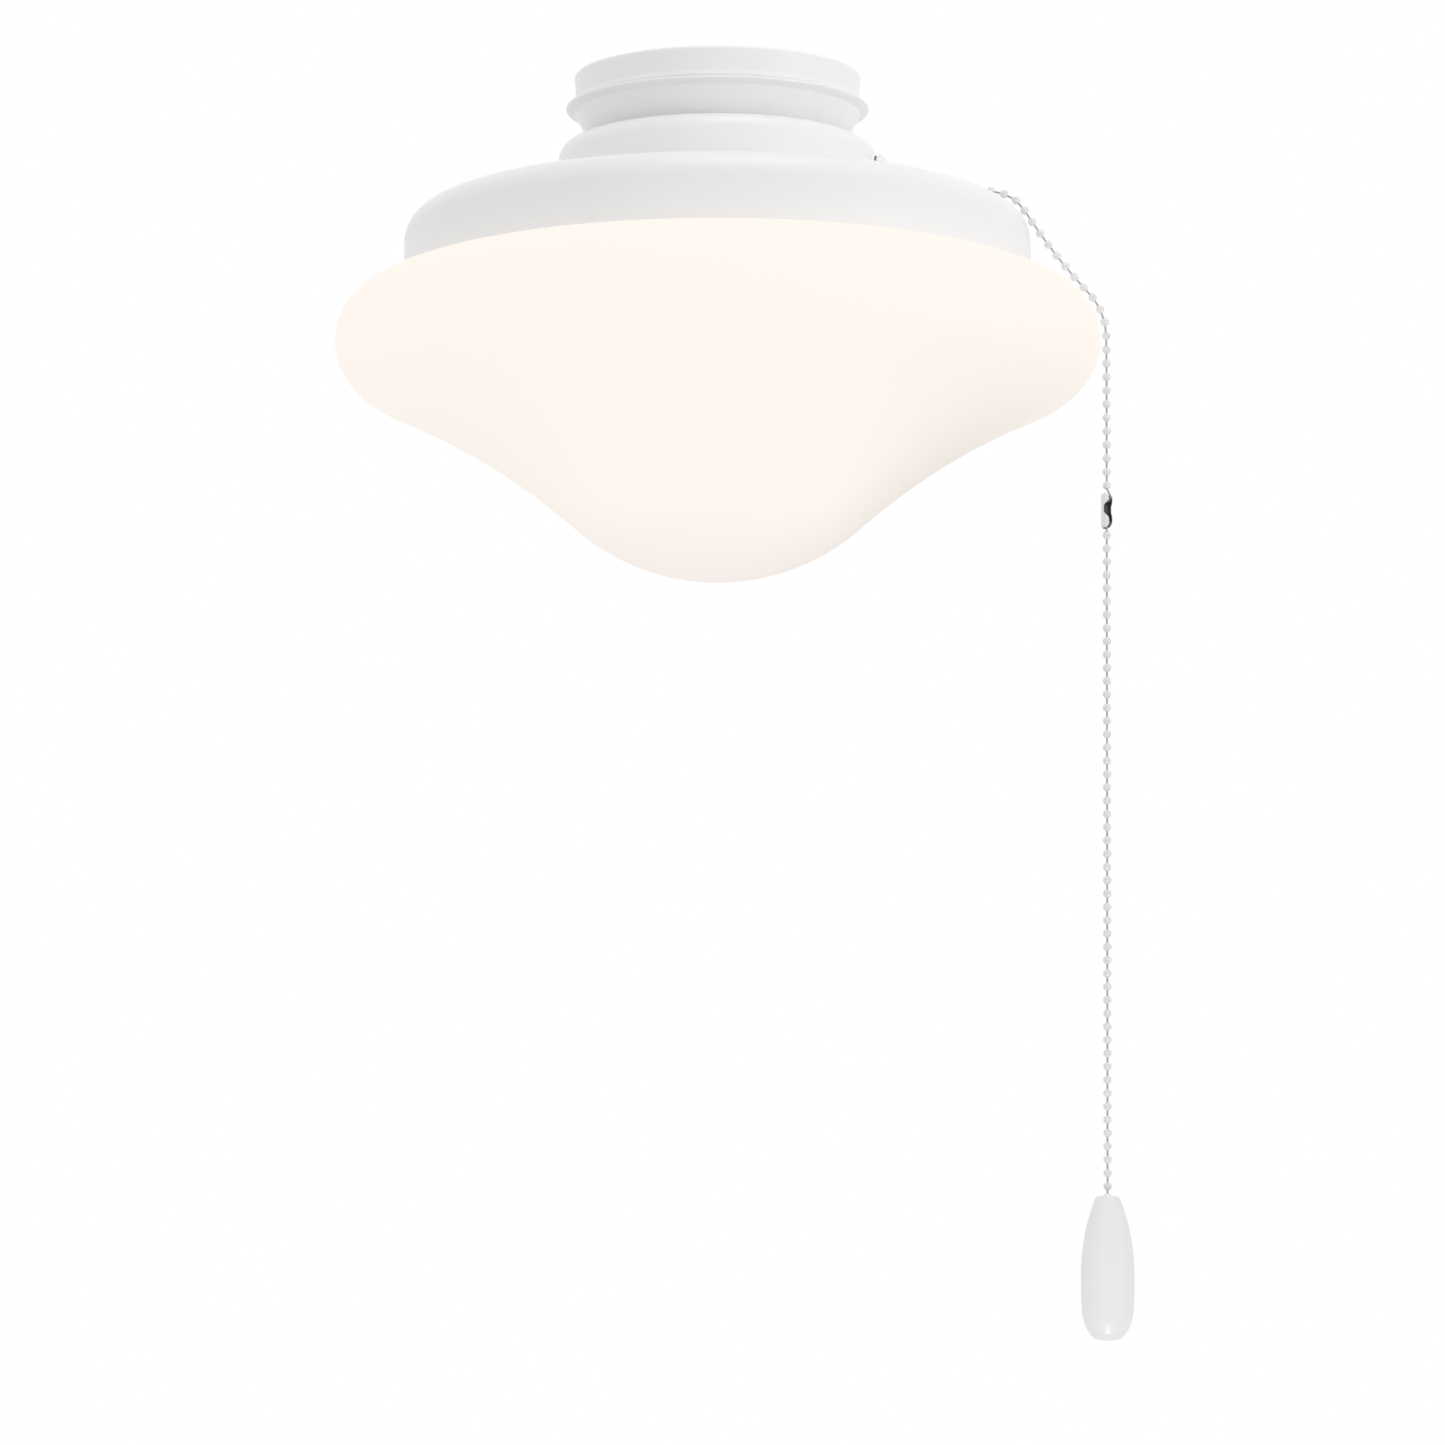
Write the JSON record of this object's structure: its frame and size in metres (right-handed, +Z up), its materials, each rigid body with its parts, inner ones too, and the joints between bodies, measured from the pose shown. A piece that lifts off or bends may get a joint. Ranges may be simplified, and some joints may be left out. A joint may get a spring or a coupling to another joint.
{
  "type": "ceiling fan light kit",
  "caption": "Low bowl-shaped opal glass light kit with a stepped white metal fitter, lamps inside, and a ball-chain pull switch with a turned fob.",
  "frame": {"origin": "centre of the neck cup's top face, where the fan's own plate begins", "axes": "+Z up towards the fan, +X towards the pull chain, -Y towards the viewer"},
  "size_m": [0.2984, 0.2862, 0.4831],
  "materials": {
    "white_paint": "smooth white baked enamel",
    "opal_glass": "opal white glass, satin outside",
    "zinc_steel": "bright zinc plate",
    "dark_steel": "oiled dark steel",
    "green_screw": "green dyed zinc plate",
    "brass": "bright rolled brass",
    "porcelain": "glazed white",
    "black_plastic": "moulded matt black",
    "fibre_board": "brown fibre sheet",
    "white_plastic": "moulded white",
    "orange_plastic": "moulded orange",
    "mineral_pad": "felted mineral fibre",
    "reflector_metal": "soft bright sheet",
    "black_lead": "smooth black insulation",
    "white_lead": "smooth white insulation",
    "green_lead": "smooth green insulation",
    "chain_metal": "white lacquered ball chain",
    "fob_paint": "turned hardwood under white gloss paint"
  },
  "bodies": {
    "fixture": {"neck_cup": "white_paint", "neck_screw_a": "zinc_steel", "ground_screw": "green_screw", "neck_screw_b": "zinc_steel", "neck_grommet": "black_plastic", "switch_housing": "white_paint", "glass_pan": "white_paint", "insulation_pad": "mineral_pad", "reflector_disc": "reflector_metal", "pan_grommet": "black_plastic", "lamp_bracket": "zinc_steel", "threaded_nipple": "zinc_steel", "lock_washer_upper": "dark_steel", "nipple_nut_upper": "zinc_steel", "lock_washer_lower": "dark_steel", "nipple_nut_lower": "zinc_steel", "lampholder_left": "porcelain", "holder_screw_left": "zinc_steel", "screw_shell_left": "brass", "centre_contact_left": "brass", "bulb_cap_left": "zinc_steel", "bulb_globe_left": "opal_glass", "lamp_lead_white_left": "white_lead", "lamp_lead_black_left": "black_lead", "lampholder_right": "porcelain", "holder_screw_right": "zinc_steel", "screw_shell_right": "brass", "centre_contact_right": "brass", "bulb_cap_right": "zinc_steel", "bulb_globe_right": "opal_glass", "lamp_lead_white_right": "white_lead", "lamp_lead_black_right": "black_lead", "shade_clip_1": "zinc_steel", "shade_clip_2": "zinc_steel", "shade_clip_3": "zinc_steel", "switch_body": "black_plastic", "switch_cover": "fibre_board", "switch_barrel": "zinc_steel", "barrel_inner_nut": "zinc_steel", "barrel_washer": "dark_steel", "barrel_nut": "white_paint", "return_spring": "dark_steel", "switch_contact": "brass", "wire_nut_white": "white_plastic", "wire_nut_black": "orange_plastic", "fan_plug": "white_plastic", "supply_lead_black": "black_lead", "supply_lead_white": "white_lead", "ground_lead": "green_lead", "switched_lead": "black_lead", "chain_over_pan": "chain_metal"},
    "shade": {"glass_shade": "opal_glass"},
    "drum": {"switch_drum": "white_plastic"},
    "pull": {"chain_drop": "chain_metal"},
    "hanging_chain": {"chain_end_link": "chain_metal", "chain_coupling": "white_paint", "chain_lower": "chain_metal"},
    "pull_fob": {"fob": "fob_paint", "fob_ferrule": "white_paint"}
  },
  "joints": [
    {"name": "shade_twist", "type": "hinge", "parent": "fixture", "child": "shade", "pos_m": [0, 0, -0.0675], "axis": [0, 0, -1], "range_deg": [0, 25]},
    {"name": "chain_pull", "type": "slide", "parent": "fixture", "child": "pull", "axis": [0, 0, -1], "range_m": [0, 0.008], "stiffness_N_per_m": 500, "springref_m": -0.004, "deforming": ["chain_drop"]},
    {"name": "switch_turn", "type": "hinge", "parent": "fixture", "child": "drum", "pos_m": [0.04235, -0.00747, -0.0431], "axis": [0.1736, 0.9848, 0], "range_deg": [0, 90]},
    {"name": "chain_swing", "type": "hinge", "parent": "pull", "child": "hanging_chain", "pos_m": [0.14546, -0.00508, -0.1578], "axis": [0, 1, 0], "range_deg": [-30, 30]},
    {"name": "fob_spin", "type": "hinge", "parent": "hanging_chain", "child": "pull_fob", "pos_m": [0.14546, -0.00508, -0.4339], "axis": [0, 0, 1], "continuous": true}
  ],
  "couplings": [
    {"joint": "switch_turn", "follows": "chain_pull", "rad_per_m": 196.08}
  ]
}
